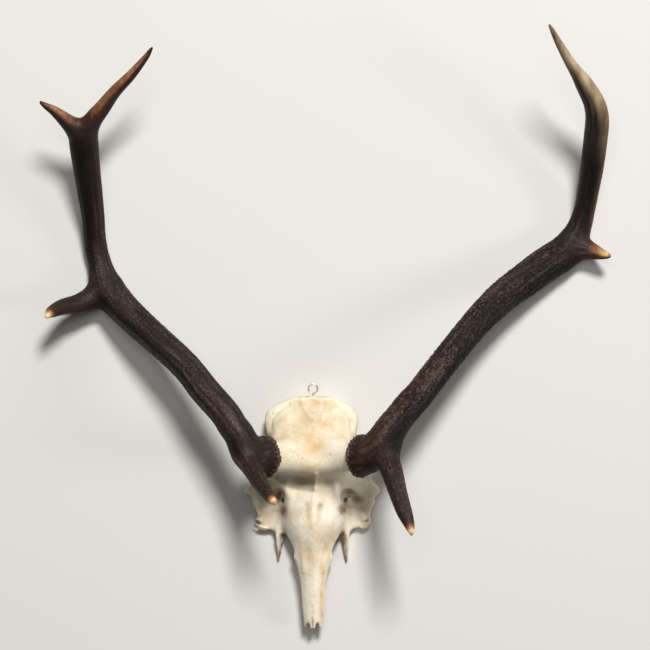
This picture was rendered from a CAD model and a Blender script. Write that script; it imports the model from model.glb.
import math

import bmesh
import bpy
import numpy as np
from mathutils import Matrix, Vector


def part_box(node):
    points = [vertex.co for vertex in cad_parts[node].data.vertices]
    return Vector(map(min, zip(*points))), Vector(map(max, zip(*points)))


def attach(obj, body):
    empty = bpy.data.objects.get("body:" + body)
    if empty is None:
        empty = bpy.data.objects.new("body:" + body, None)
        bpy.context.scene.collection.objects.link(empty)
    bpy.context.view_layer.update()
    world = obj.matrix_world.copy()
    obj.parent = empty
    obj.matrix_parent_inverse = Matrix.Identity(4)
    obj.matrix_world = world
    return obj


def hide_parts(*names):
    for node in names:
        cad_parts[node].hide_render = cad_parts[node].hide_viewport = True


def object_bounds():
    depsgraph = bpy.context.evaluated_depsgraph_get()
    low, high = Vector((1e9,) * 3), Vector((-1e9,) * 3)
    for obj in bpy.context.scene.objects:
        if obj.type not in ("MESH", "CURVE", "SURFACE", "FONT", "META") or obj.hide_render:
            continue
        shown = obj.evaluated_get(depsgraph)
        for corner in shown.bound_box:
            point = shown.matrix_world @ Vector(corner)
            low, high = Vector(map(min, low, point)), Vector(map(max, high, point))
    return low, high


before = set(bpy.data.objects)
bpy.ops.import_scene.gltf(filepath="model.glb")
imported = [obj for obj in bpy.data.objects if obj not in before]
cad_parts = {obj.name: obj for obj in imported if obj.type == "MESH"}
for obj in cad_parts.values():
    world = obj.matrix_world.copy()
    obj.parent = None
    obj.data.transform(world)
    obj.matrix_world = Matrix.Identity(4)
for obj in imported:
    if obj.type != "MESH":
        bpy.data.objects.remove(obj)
cad_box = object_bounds()

# A pair of red deer antlers on their sawn skull, seen from straight above as it lies on the cut.
# Tables are in millimetres, measured from the middle of the forehead and up from the saw cut.
MM = 0.001
EYE_CENTRE = (0.8, 80.5, 34.0)
EYE_RADIUS = 5.9
EYE_START, EYE_TURN, EYE_STEPS = -84, 348, 24
WIRE_RADIUS, WIRE_CLEARANCE = 1.1, 0.03
SHANK_END = 61.0
eye_low, eye_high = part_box("hanging_eye")
SHIFT = np.array([(eye_low.x + eye_high.x) / 2 / MM - EYE_CENTRE[0],
                  eye_high.y / MM - EYE_CENTRE[1] - EYE_RADIUS - WIRE_RADIUS, 0.0])

# Antler centre lines: x, y, z, half width seen from above, half depth
LEFT_BEAM = [
    (-59, -2, 100, 20, 20), (-72, 1, 110, 20, 20), (-83, 13.5, 118, 19.8, 19),
    (-90, 27, 120.5, 18.8, 18.3), (-98, 38, 119.5, 18.4, 18), (-108, 53, 115.5, 18.6, 18),
    (-132, 79, 104, 19, 18), (-159, 111, 89, 18.6, 18), (-194, 142, 70, 18.8, 18),
    (-226, 170, 52, 19.8, 18), (-250, 194, 35, 21, 17), (-263, 213, 22.5, 20, 16),
    (-268, 229, 16.5, 16.5, 15.6), (-271.5, 243, 15.6, 14.5, 15.2),
    (-275, 258, 17.5, 14.3, 14.8), (-277, 275, 22.5, 14.2, 14.5), (-278, 300, 33, 14.5, 14.3),
    (-280, 325, 46, 15.5, 14), (-282, 354, 64, 16.5, 14), (-284, 382, 80, 17.5, 13.5),
    (-284, 395, 88, 14.5, 11.5), (-284, 404, 92, 11, 9),
]
LEFT_BROW = [
    (-82, 1, 118, 14.5, 14.5), (-76, -9, 131, 13.2, 13.2), (-69, -20, 146, 11.5, 11.5),
    (-62, -31, 161, 9.8, 9.8), (-55, -40, 176, 8, 8), (-50, -46, 186, 6.4, 6.4),
    (-46, -50, 193, 4.4, 4.4), (-44, -52, 197, 2.2, 2.2),
]
LEFT_TREZ = [
    (-262, 206, 24, 18, 14), (-281, 194, 29, 15.2, 13), (-290, 190, 34, 13.5, 12.2),
    (-298, 187, 40, 12.3, 11.5), (-308, 185, 49, 11, 11), (-315, 183, 58, 10, 10),
    (-323, 179, 68, 8.4, 8.4), (-327, 176, 75, 6.6, 6.6), (-330, 172, 80, 3.2, 3.2),
]
LEFT_INNER = [
    (-281, 388, 84, 10, 9), (-273, 412, 97, 11.5, 10.5), (-258, 430, 106, 9.6, 9.4),
    (-242, 449, 114, 7.6, 7.6), (-222, 468, 123, 6.2, 6.2), (-204, 488, 131, 3.9, 3.9),
    (-198, 496, 135, 2.6, 2.6), (-195, 500, 137, 1.3, 1.3),
]
LEFT_OUTER = [
    (-287, 390, 84, 9.5, 8.5), (-296, 405, 94, 11, 10), (-307, 416, 101, 8.8, 8.6),
    (-318, 425, 107, 6.3, 6.3), (-328, 431, 112, 4, 4), (-334, 435, 115, 2, 2),
]
RIGHT_BEAM = [
    (62, -1, 100, 20, 20), (74, 3, 110, 20.5, 20), (87, 15, 118.5, 23, 19),
    (96, 31, 121, 20, 18.3), (108, 47.5, 119, 18.4, 18), (123, 65, 114, 18.6, 18),
    (134, 77, 110, 18, 18), (165, 116, 95, 17.8, 17.5), (201, 159, 76, 18.3, 17.5),
    (232, 190, 58, 20, 17.5), (262, 213, 42, 21.5, 17), (295, 237, 29, 22, 16),
    (322, 255, 20.5, 21.5, 15.5), (337, 279, 15.7, 16.5, 15.5), (345, 305, 22, 13.5, 14.5),
    (349, 332, 34, 13.8, 14), (352, 362, 53, 14.8, 14.2), (353.5, 392, 75, 14.9, 14),
    (353, 416, 97, 14.6, 13.8), (347.5, 435, 112, 13.1, 13), (333.5, 456.5, 128, 10.8, 11.5),
    (323, 470, 137, 7.9, 8.6), (313.5, 482, 146, 6.3, 6.8), (301, 500.5, 157, 4.7, 5),
    (292, 515, 166, 3.2, 3.3), (287, 523, 171, 1.6, 1.6),
]
RIGHT_BROW = [
    (90, 2, 118, 14.5, 14.5), (97, -16, 137, 13.5, 13.5), (102, -33, 151, 12, 12),
    (107, -50, 163, 10.6, 10.6), (112, -65, 173, 9.4, 9.4), (117, -78, 181, 6.8, 6.8),
    (119, -85, 185, 4.6, 4.6), (120, -90, 187, 2.2, 2.2),
]
RIGHT_TREZ = [
    (330, 262, 20, 16, 14.5), (346, 257.5, 25, 13, 12), (357, 254, 30, 10, 9.4),
    (366, 250.5, 36, 6.8, 6.6), (373, 248.5, 40, 4, 4), (375.5, 248, 42, 2.2, 2.2),
]
BURRS = {"left": ((-59, -2, 100), (-0.73, 0.0, 0.68)), "right": ((62, -1, 100), (0.73, 0.0, 0.68))}
BURR_BASE = -5.0
# Height over the burr's base, and radius
BURR_PROFILE = ((0, 20.5), (0.9, 23.0), (3.5, 24.2), (7, 23.6), (12, 22.0), (19, 20.0), (27, 15),
                (38, 0))
COLLAR_ROWS = 6
# Past this radius and height the collar has no pull, as if it were FAR away
COLLAR_RADIUS, COLLAR_HEIGHT, FAR = 45, 36, 60.0
# The burr's own relief ends between these heights, and within this radius of its axis
FOOT_LOW, FOOT_HIGH, FOOT_RADIUS = 15, 24, 34
GAP = 0.3
ANTLER_VOXEL = 1.14
SKULL_CORE_VOXEL = 1.9
SKULL_VOXEL = 1.25
FORK_REACH = 16.0
# Relief of the antlers: length of one bead along a branch, and width of one across it
BEAD_LENGTH, BEAD_WIDTH = 3.2, 2.6


# Numbers that vary smoothly in space

def lattice(i, j, k, seed):
    """A fixed pseudo-random number from 0 to 1 for each whole-number place."""
    h = (i.astype(np.uint32) * np.uint32(374761393) + j.astype(np.uint32) * np.uint32(668265263)
         + k.astype(np.uint32) * np.uint32(2246822519) + np.uint32(seed * 40503 + 977))
    h = (h ^ (h >> np.uint32(13))) * np.uint32(1274126177)
    h = (h ^ (h >> np.uint32(15))) * np.uint32(2654435761)
    return ((h ^ (h >> np.uint32(16))) & np.uint32(0xFFFFFF)) / float(0xFFFFFF)


def noise(points, seed=0):
    """Smooth noise from -1 to 1 at the rows of points."""
    base = np.floor(points).astype(np.int64)
    f = points - base
    f = f * f * f * (f * (f * 6 - 15) + 10)
    total = 0.0
    for corner in range(8):
        d = [(corner >> axis) & 1 for axis in range(3)]
        weight = 1.0
        for axis in range(3):
            weight = weight * (f[:, axis] if d[axis] else 1 - f[:, axis])
        total = total + weight * lattice(base[:, 0] + d[0], base[:, 1] + d[1],
                                         base[:, 2] + d[2], seed)
    return total * 2 - 1


def layered(points, octaves, seed=0):
    """Noise summed over finer and weaker layers."""
    total, size = 0.0, 1.0
    for octave in range(octaves):
        total = total + size * noise(points * 2.0 ** octave, seed + octave * 17)
        size *= 0.5
    return total / (2 - 2 * 0.5 ** octaves)


def cells(points, seed=0):
    """Distance to the nearest scattered seed point, and that seed's own number."""
    base = np.floor(points).astype(np.int64)
    best = np.full(len(points), 9.0)
    own = np.zeros(len(points))
    for dx in (-1, 0, 1):
        for dy in (-1, 0, 1):
            for dz in (-1, 0, 1):
                i, j, k = base[:, 0] + dx, base[:, 1] + dy, base[:, 2] + dz
                spot = np.stack([i + lattice(i, j, k, seed), j + lattice(i, j, k, seed + 1),
                                 k + lattice(i, j, k, seed + 2)], axis=1)
                d = np.linalg.norm(points - spot, axis=1)
                nearer = d < best
                best = np.where(nearer, d, best)
                own = np.where(nearer, lattice(i, j, k, seed + 3), own)
    return best, own


def step(low, high, value):
    """A soft step from 0 at low to 1 at high."""
    t = np.clip((value - low) / (high - low), 0, 1)
    return t * t * (3 - 2 * t)


def unit(direction):
    return np.array(direction) / np.linalg.norm(direction)


def wrapped(ring, across, s, along):
    """Places for noise that runs round a branch without a seam: ring is its cosine and sine."""
    return np.concatenate([ring * across, (s / along)[:, None]], axis=1)


def angle_from(turn, middle):
    """Signed angle from the middle, from -pi to pi."""
    return (turn - middle + math.pi) % (2 * math.pi) - math.pi


# Solids from code

def spline(rows, spacing):
    """Points of a smooth curve through the rows, about one spacing apart."""
    pts = [np.array(row, dtype=float) for row in rows]
    pts = [2 * pts[0] - pts[1]] + pts + [2 * pts[-1] - pts[-2]]
    out = []
    for i in range(1, len(pts) - 2):
        p0, p1, p2, p3 = pts[i - 1:i + 3]
        count = max(1, int(round(np.linalg.norm(p2[:3] - p1[:3]) / spacing)))
        for j in range(count):
            t = j / count
            out.append(0.5 * (2 * p1 + (p2 - p0) * t
                              + (2 * p0 - 5 * p1 + 4 * p2 - p3) * t * t
                              + (3 * p1 - p0 - 3 * p2 + p3) * t ** 3))
    out.append(pts[-2])
    return np.array(out)


def new_object(name, bm):
    bmesh.ops.recalc_face_normals(bm, faces=bm.faces)
    mesh = bpy.data.meshes.new(name)
    bm.to_mesh(mesh)
    bm.free()
    obj = bpy.data.objects.new(name, mesh)
    bpy.context.scene.collection.objects.link(obj)
    return obj


def skin(name, rings):
    """A closed solid over equal rings of points in millimetres, both ends capped."""
    bm = bmesh.new()
    loops = [[bm.verts.new(Vector(p) * MM) for p in ring] for ring in rings]
    for a, b in zip(loops, loops[1:]):
        for i in range(len(a)):
            j = (i + 1) % len(a)
            bm.faces.new((a[i], a[j], b[j], b[i]))
    bm.faces.new(loops[0][::-1])
    bm.faces.new(loops[-1])
    return new_object(name, bm)


class Branch:
    """One branch of an antler: its centre line, the directions across it, and its girth.

    pearls, grooves and dusk (brightness) go by distance along it, and wear by distance back from
    its tip. keel is a ridge's angle, height, the depth of the flat beside it, start and stop;
    flush lists red tints with the way they face; flank is a dark side and how far it is dimmed.
    """

    def __init__(self, rows, pearls=((0,), (0,)), grooves=((0,), (0,)), wear=None,
                 lit_side=None, keel=None, open_start=False, flush=(), pale=False,
                 dusk=((0,), (1,)), flank=None):
        self.path = spline(rows, 1.0)
        tangent = np.gradient(self.path[:, :3], axis=0)
        self.t = tangent / np.linalg.norm(tangent, axis=1)[:, None]
        side = np.cross(self.t, (0.0, 0.0, 1.0))
        self.side = side / np.linalg.norm(side, axis=1)[:, None]
        self.up = np.cross(self.side, self.t)
        gone = np.linalg.norm(np.diff(self.path[:, :3], axis=0), axis=1)
        self.s = np.concatenate([[0], np.cumsum(gone)])
        self.length = self.s[-1]
        self.pearls, self.grooves, self.wear = pearls, grooves, wear
        self.lit_side, self.keel, self.open_start = lit_side, keel, open_start
        self.flush, self.pale, self.dusk, self.flank = flush, pale, dusk, flank

    def solid(self, name, sides=40, every=3):
        last = len(self.path) - 1
        rings = []
        for i in sorted(set(list(range(0, last, every)) + [last])):
            p = self.path[i]
            rings.append([p[:3] + self.side[i] * math.cos(a) * p[3]
                          + self.up[i] * math.sin(a) * p[4]
                          for a in np.linspace(0, 2 * math.pi, sides, endpoint=False)])
        end, t, tip = self.path[-1], self.t[-1], rings[-1]
        for share, ahead in ((0.8, 0.55), (0.4, 0.9)):
            rings.append([end[:3] + t * end[3] * ahead + (p - end[:3]) * share for p in tip])
        return skin(name, rings)

    def nearest(self, points):
        """Index of the closest centre line point, found coarsely and then closely."""
        last = len(self.path) - 1
        coarse = self.path[::8, :3]
        out = np.empty(len(points), dtype=np.int64)
        for low in range(0, len(points), 20000):
            some = points[low:low + 20000]
            rough = ((some[:, None] - coarse) ** 2).sum(axis=2).argmin(axis=1) * 8
            near = np.clip(rough[:, None] + np.arange(-9, 10), 0, last)
            best = ((some[:, None] - self.path[near, :3]) ** 2).sum(axis=2).argmin(axis=1)
            out[low:low + 20000] = near[np.arange(len(some)), best]
        return out

    def local(self, points):
        """Distance along, angle round, and height above this branch's surface."""
        index = self.nearest(points)
        d = points - self.path[index, :3]
        u = np.einsum("ij,ij->i", d, self.side[index])
        w = np.einsum("ij,ij->i", d, self.up[index])
        ahead = np.einsum("ij,ij->i", d, self.t[index])
        beyond = np.where(index == len(self.path) - 1, np.maximum(ahead, 0), 0)
        if not self.open_start:
            beyond = np.where(index == 0, np.minimum(ahead, 0), beyond)
        a, b = self.path[index, 3], self.path[index, 4]
        reach = np.sqrt(u * u + w * w + beyond * beyond) + 1e-6
        share = np.sqrt((u / a) ** 2 + (w / b) ** 2 + (beyond / a) ** 2) + 1e-6
        return self.s[index] + ahead, np.arctan2(w, u), reach - reach / share, a


def use(obj):
    bpy.ops.object.select_all(action="DESELECT")
    obj.select_set(True)
    bpy.context.view_layer.objects.active = obj


def apply(obj, modifier):
    use(obj)
    bpy.ops.object.modifier_apply(modifier=modifier.name)


def join(objects, name):
    use(objects[0])
    for obj in objects:
        obj.select_set(True)
    bpy.ops.object.join()
    joined = bpy.context.view_layer.objects.active
    joined.name = name
    joined.data.name = name
    return joined


def remesh(obj, voxel):
    mod = obj.modifiers.new("remesh", "REMESH")
    mod.mode = "VOXEL"
    mod.voxel_size = voxel * MM
    apply(obj, mod)


def cut(obj, other):
    """Take the other solid out of this one."""
    mod = obj.modifiers.new("cut", "BOOLEAN")
    mod.operation = "DIFFERENCE"
    mod.solver = "EXACT"
    mod.object = other
    apply(obj, mod)
    bpy.data.objects.remove(other, do_unlink=True)


def read(obj):
    """Vertices in millimetres and the pairs of vertices that edges join."""
    co = np.empty(len(obj.data.vertices) * 3)
    obj.data.vertices.foreach_get("co", co)
    edges = np.empty(len(obj.data.edges) * 2, dtype=np.int64)
    obj.data.edges.foreach_get("vertices", edges)
    return co.reshape(-1, 3) / MM, edges.reshape(-1, 2)


def write(obj, co):
    obj.data.vertices.foreach_set("co", (co * MM).ravel())
    obj.data.update()


def normals(obj):
    out = np.empty(len(obj.data.vertices) * 3)
    obj.data.vertices.foreach_get("normal", out)
    return out.reshape(-1, 3)


def relax(co, edges, weight, rounds, factor=0.5):
    """Pull each vertex toward the mean of its neighbours, by its weight."""
    count = np.zeros(len(co))
    np.add.at(count, edges[:, 0], 1)
    np.add.at(count, edges[:, 1], 1)
    pull = (np.asarray(weight) * factor).reshape(-1, 1)
    for _ in range(rounds):
        total = np.zeros_like(co)
        for axis in range(3):
            total[:, axis] = (np.bincount(edges[:, 0], co[edges[:, 1], axis], len(co))
                              + np.bincount(edges[:, 1], co[edges[:, 0], axis], len(co)))
        co = co + (total / count[:, None] - co) * pull
    return co


def paint(obj, name, values):
    """Store one number per vertex for the material to read."""
    layer = obj.data.attributes.new(name, "FLOAT", "POINT")
    layer.data.foreach_set("value", np.asarray(values, dtype=np.float32))


def burr_frame(side):
    """Middle of the burr, its axis, and two directions across it."""
    centre, axis = BURRS[side]
    n = unit(axis)
    across = unit(np.cross(n, (0.0, 1.0, 0.0)))
    return np.array(centre, dtype=float), n, across, np.cross(n, across)


def burr_solid(side):
    """Collar of the burr, tapering into the beam."""
    centre, n, across, up = burr_frame(side)
    rings = [[centre + n * (BURR_BASE + height)
              + (across * math.cos(a) + up * math.sin(a)) * radius
              for a in np.linspace(0, 2 * math.pi, 64, endpoint=False)]
             for height, radius in BURR_PROFILE[:COLLAR_ROWS]]
    return skin("collar", rings)


BURR_BEADS = [
    # How many beads, height of their row, least and largest radius, how far they stand out
    (30, 3.0, 2.2, 3.2, 0.95), (26, 7.4, 1.3, 2.3, 0.7),
]
# Radius that turns an angle round the burr into millimetres
BURR_ARC = 24.0


def burr_beads(turn, height, seed):
    """Height of the rows of bony beads round the foot of the burr, and of the cords above them."""
    rng = np.random.RandomState(seed)
    beads = np.zeros(len(turn))
    for count, level, low, high, stand in BURR_BEADS:
        for k in range(count):
            a = 2 * math.pi * (k + rng.uniform(-0.25, 0.25)) / count
            size = rng.uniform(low, high)
            tall = level + rng.uniform(-0.7, 0.9)
            away = angle_from(turn, a) * BURR_ARC
            r = (away ** 2 + ((height - tall) * 0.9) ** 2) / size ** 2
            beads = np.maximum(beads, np.sqrt(np.clip(1 - r, 0, 1)) * size * stand)
    ring = np.stack([np.cos(turn), np.sin(turn)], axis=1)
    place = wrapped(ring, 6.3, height, 22.0)
    place[:, :2] += 0.25 * noise(place * 0.5, seed + 70)[:, None]
    cords = 1.7 * np.abs(noise(place, seed + 71)) - 0.4
    return beads, cords + 0.4 * noise(wrapped(ring, 13, height, 9), seed + 73)


class BurrPlace:
    """Where points lie by the burr: height along its axis, radius, and angle round it."""

    def __init__(self, side, co):
        centre, n, across, up = burr_frame(side)
        rel = co - centre
        radial = rel - np.outer(rel @ n, n)
        self.height = rel @ n - BURR_BASE
        self.radius = np.linalg.norm(radial, axis=1)
        self.turn = np.arctan2(radial @ up, radial @ across)

    def collar(self):
        """Height above the smooth collar."""
        above = self.radius - np.interp(self.height, *zip(*BURR_PROFILE))
        near = (self.radius < COLLAR_RADIUS) & (self.height < COLLAR_HEIGHT)
        return np.where(near, above, FAR)


def pull_to_lines(obj, side, branches):
    """Move the remeshed surface onto the branches' true girth, with rounded forks."""
    co, edges = read(obj)
    co = relax(co, edges, np.ones(len(co)), rounds=3)
    write(obj, co)
    for _ in range(3):
        burr = BurrPlace(side, co)
        gaps = [b.local(co)[2] for b in branches] + [burr.collar()]
        field = gaps[0]
        for other in gaps[1:]:
            meet = np.clip(FORK_REACH - np.abs(field - other), 0, None) / FORK_REACH
            field = np.minimum(field, other) - meet ** 3 * FORK_REACH / 6
        foot = (burr.radius < FOOT_RADIUS) & (burr.height < FOOT_HIGH)
        free = np.where(foot, step(0.6, 2.5, burr.height), 1.0)
        co = co - normals(obj) * (np.clip(field, -3, 3) * free)[:, None]
        co = relax(co, edges, free, rounds=2, factor=0.4)
        write(obj, co)
    return co


def bead_relief(branch, number, s, ring, girth, boldness, seed):
    """Relief of one branch in millimetres, and how strong its beads and grooves are."""
    pearl = np.interp(s, *branch.pearls) * boldness
    groove = np.interp(s, *branch.grooves)
    round_size = np.maximum(np.round(girth / 6) * 6, 6)[:, None] / BEAD_WIDTH
    spots = wrapped(ring, round_size, s, BEAD_LENGTH)
    spots += 0.3 * noise(spots * 0.4, seed + 5)[:, None]
    near, own = cells(spots, seed + number)
    bead = np.sqrt(np.clip(1 - (near / 0.66) ** 2, 0, 1)) * step(0.12, 0.5, own)
    bead *= 0.55 + 0.6 * own
    patch = 0.65 + 0.35 * noise(wrapped(ring, 1.5, s, 34), seed + 12)
    cords = wrapped(ring, 3.2, s, 70)
    cords[:, :2] += 0.2 * noise(wrapped(ring, 1, s, 25), seed + 33)[:, None]
    cord = 1.5 * np.abs(noise(cords, seed + 31 + number)) - 0.4
    fine = noise(wrapped(ring, 8, s, 30), seed + 47)
    relief = pearl * patch * (bead - 0.35) + groove * (0.7 * cord + 0.3 * fine)
    return relief, pearl, groove, patch


def keel_form(branch, s, turn):
    """A blunt ridge along the branch, with a flat beside it."""
    angle, crest, flat, start, stop = branch.keel
    off = angle_from(turn, angle)
    along = step(start, start + 50, s) * (1 - step(stop - 60, stop, s))
    sign = 1 if angle < math.pi / 2 else -1
    form = crest * np.exp(-(off / 0.2) ** 2)
    return along * (form - flat * np.exp(-((off * sign + 0.7) / 0.42) ** 2))


def worn(obj, branch, s, ring, seed):
    """How far a branch is worn pale toward its tip, most on its lit side."""
    amount = np.interp(branch.length - s, *branch.wear)
    if branch.lit_side is None:
        return amount
    streak = noise(wrapped(ring, 3.5, s, 30), seed + 61)
    lit = step(-0.35, 0.75, normals(obj) @ unit(branch.lit_side) + 0.22 * streak)
    if branch.pale:
        lit = np.maximum(lit, 0.8 * (1 - step(30, 90, branch.length - s)))
    return amount * lit


def shaded(obj, branch, s, ring, seed):
    """Brightness of a branch along its length, dimmer on its dark flank."""
    shade = np.interp(s, *branch.dusk)
    if branch.flank:
        direction, dimming = branch.flank
        facing = normals(obj) @ unit(direction) + 0.12 * noise(wrapped(ring, 3, s, 18), seed + 81)
        shade = shade * (1 - dimming * step(0.05, 0.5, facing))
    return shade


def antler(side, branches, seed, boldness):
    """One whole antler: branches and burr fused, then beaded and grooved along its own lines."""
    obj = join([b.solid("branch") for b in branches] + [burr_solid(side)], side + "_antler")
    remesh(obj, ANTLER_VOXEL)
    co = pull_to_lines(obj, side, branches)

    gaps = [b.local(co) for b in branches]
    depth = np.stack([g[2] for g in gaps])
    share = np.exp(-(depth - depth.min(axis=0)) / 1.6)
    share /= share.sum(axis=0)
    burr = BurrPlace(side, co)
    foot = (1 - step(FOOT_LOW, FOOT_HIGH, burr.height)) * (burr.radius < FOOT_RADIUS)

    relief, wear, beige, polish, grain, flush, tone = (np.zeros(len(co)) for _ in range(7))
    for number, (branch, part, (s, turn, _, girth)) in enumerate(zip(branches, share, gaps)):
        ring = np.stack([np.cos(turn), np.sin(turn)], axis=1)
        raised, pearl, groove, patch = bead_relief(branch, number, s, ring, girth, boldness, seed)
        relief += part * raised
        if branch.keel:
            co = co + normals(obj) * (part * keel_form(branch, s, turn))[:, None]
        if branch.wear is not None:
            amount = part * worn(obj, branch, s, ring, seed)
            if branch.pale:
                beige += amount
            else:
                wear += amount
        for where, amounts, direction in branch.flush:
            facing = step(0.25, 0.95, normals(obj) @ unit(direction))
            flush += part * np.interp(s, where, amounts) * facing
        tone += part * shaded(obj, branch, s, ring, seed)
        polish += part * np.clip(1 - (pearl + groove) / 0.8, 0, 1)
        grain += part * np.clip(pearl * (0.55 + 0.6 * patch), 0, 1)

    beads, cords = burr_beads(burr.turn, burr.height, seed)
    collar = np.maximum(beads * step(0.3, 1.2, burr.height),
                        0.95 * cords * step(5, 9, burr.height))
    relief = relief * (1 - foot) + foot * (collar - 0.35)
    co = co + normals(obj) * relief[:, None]
    co[:, 2] = np.maximum(co[:, 2], 0.0)
    write(obj, co)
    sunny = step(0.1, 0.9, normals(obj) @ np.array((0.0, 0.6, 0.8)))
    for name, values in (
            ("relief", np.clip(0.42 + relief * (0.85 - 0.44 * foot), 0, 1)),
            ("wear", wear), ("beige", beige), ("polish", polish * (1 - foot)),
            ("grain", grain * (1 - foot)), ("flush", flush * (1 - foot) + 0.14 * foot * sunny),
            ("tone", tone * (1 - foot) + foot * 0.62),
            ("bead", foot * (1 - step(6, 10, burr.height)) * np.clip(beads / 2.0, 0, 1))):
        paint(obj, name, values)
    return obj


# Skull: half sections from its rear end to the nose. Each has y, the middle, the height of the
# bottom, and points x and z. Under the brow they go deeper than the solid does.

SKULL_SECTIONS = [
    (70, 0, -4, (16, 0), (24, 24), (24, 32), (12, 36), (0, 38)),
    (64, 0, -4, (30, 0), (39, 22), (38, 32), (20, 39), (0, 42)),
    (58, 0, -4, (40, 0), (50, 20), (48, 33), (26, 43), (0, 47)),
    (50, -1, -4, (46, 0), (57, 20), (55, 34), (30, 47), (0, 52)),
    (40, -1, -4, (48, 0), (59, 20), (56, 36), (32, 53), (0, 58)),
    (25, -1, -4, (46, 0), (57, 22), (53, 42), (30, 62), (0, 68)),
    (10, 0, -4, (42, 0), (50, 28), (46, 52), (28, 73), (0, 80)),
    (-5, 0, -4, (38, 0), (46, 30), (45, 60), (26, 84), (0, 89)),
    (-15, 0, -4, (34, 0), (44, 30), (47, 64), (30, 87), (0, 92)),
    (-23, 0, -4, (32, 0), (41, 30), (46, 63), (27, 80), (0, 85)),
    (-29, 0, -4, (30, 0), (37, 30), (43, 56), (24, 69), (0, 75)),
    (-38, 0, -4, (28, 0), (32, 26), (36, 46), (20, 54), (0, 60)),
    (-50, 0, -4, (25, 0), (29, 22), (31, 41), (18, 51), (0, 56)),
    (-62, 1, -4, (25, 0), (29, 22), (31, 40), (18, 51.5), (0, 57)),
    (-75, 1, -4, (29, 0), (34, 22), (35, 38), (19, 52), (0, 58)),
    (-90, 1, -4, (32, 0), (38, 20), (38, 34), (20, 52), (0, 58)),
    (-104, 1, -4, (29, 0), (33, 18), (34, 30), (18, 49), (0, 55)),
    (-114, 1, 6, (24, 8), (28, 20), (28, 31), (15, 46), (0, 53)),
    (-125, 1, 17, (21, 18), (24, 24), (24, 32), (14, 44), (0, 51)),
    (-134, 1, 21, (22, 22), (25.5, 27), (23.5, 33), (14, 44), (0, 49.5)),
    (-148, 1, 25, (17, 26), (20, 30), (19, 35), (12, 43.5), (0, 47.5)),
    (-165, 1, 27, (15, 28), (16.5, 32), (15.5, 36), (10, 42), (0, 45)),
    (-185, 1.5, 26, (14, 27), (15.5, 30), (14.5, 34), (9, 39), (0, 42)),
    (-205, 1.5, 24, (12.8, 25), (14, 28), (13, 31), (8.5, 36), (0, 38.5)),
    (-224, 1.5, 22, (10.5, 23), (11.8, 26), (11, 29), (7, 33), (0, 35)),
]
BRAIN_SECTIONS = [
    (64, 0, -9, (14, -8), (22, 10), (20, 18), (10, 24), (0, 26)),
    (52, 0, -9, (34, -8), (44, 12), (40, 22), (22, 32), (0, 37)),
    (38, 0, -9, (42, -8), (50, 14), (46, 26), (24, 40), (0, 46)),
    (20, 0, -9, (38, -8), (47, 18), (42, 34), (24, 48), (0, 54)),
    (2, 0, -9, (32, -8), (40, 20), (36, 38), (20, 52), (0, 58)),
    (-14, 0, -9, (26, -8), (33, 20), (30, 36), (16, 48), (0, 54)),
    (-26, 0, -9, (14, -8), (18, 16), (16, 28), (8, 36), (0, 40)),
]
FACE_SECTIONS = [
    (-38, 0, -9, (16, -8), (20, 12), (20, 24), (12, 36), (0, 42)),
    (-52, 0, -9, (20, -8), (25, 16), (26, 36), (14, 48), (0, 54)),
    (-70, 1, -9, (23, -8), (28, 16), (29, 34), (15, 46), (0, 52)),
    (-90, 1, -9, (26, -8), (32, 14), (31, 28), (16, 43), (0, 49)),
    (-104, 1, -9, (23, -8), (28, 14), (27, 25), (14, 40), (0, 47)),
    (-125, 1, -9, (16, -8), (18.5, 16), (18.5, 28), (11, 39), (0, 46)),
    (-145, 1, -9, (14, -8), (15.5, 22), (15, 31), (9, 39), (0, 43.5)),
    (-165, 1, -9, (10.5, -8), (11.5, 24), (11, 32), (7, 38), (0, 41)),
    (-185, 1.5, -9, (9.5, -8), (10.5, 22), (10, 30), (6, 35), (0, 38)),
    (-205, 1.5, -9, (8.5, -8), (9, 20), (8.5, 27), (5, 32), (0, 35)),
    (-232, 1.5, -9, (6.5, -8), (7, 16), (6.5, 23), (4, 26), (0, 28)),
]
LEFT_CREST = [
    (1.0, 69.8, 36, 2.4), (-5.1, 68.4, 35.5, 2.2), (-9, 67.2, 35, 2.0), (-13.5, 67.0, 35, 2.0),
    (-19.8, 67.9, 35, 2.0), (-26.2, 66.8, 34, 2.0), (-35.6, 62.0, 33, 2.0), (-45.5, 57.4, 32, 2.0),
    (-50.2, 53.2, 31, 2.0), (-55, 48.2, 31, 2.0), (-58.4, 39.7, 32, 2.0), (-57.6, 31, 34, 1.9),
    (-56.6, 22, 38, 1.9),
]
RIGHT_CREST = [
    (1.0, 69.8, 36, 2.4), (6.5, 68.4, 35.5, 2.2), (11.8, 66.8, 35, 2.0), (17, 67.3, 35, 2.0),
    (22.3, 68.5, 35, 2.0), (27.6, 67.2, 34, 2.0), (32.8, 64.2, 33, 2.0), (38.7, 60.2, 32.5, 2.0),
    (45.4, 54.8, 32, 2.0), (49.0, 51.2, 31, 2.0), (53.3, 46, 31, 2.0), (55.5, 39.7, 32, 2.0),
    (54.0, 32.3, 34, 1.9), (54.5, 24, 37, 1.9),
]
LEFT_SOCKET = [
    (-30, -30, 70), (-50, -27, 58), (-60, -33, 46), (-80, -41, 34), (-88, -51, 30),
    (-76, -58, 29), (-76, -69, 27), (-71, -76, 25), (-69, -84, 22), (-74, -87, 18),
    (-64, -91, 18), (-69, -97, 14), (-59, -100, 14), (-51, -100, 16), (-46, -106, 18),
    (-33, -104, 26), (-30, -80, 40), (-28, -55, 60),
]
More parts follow.
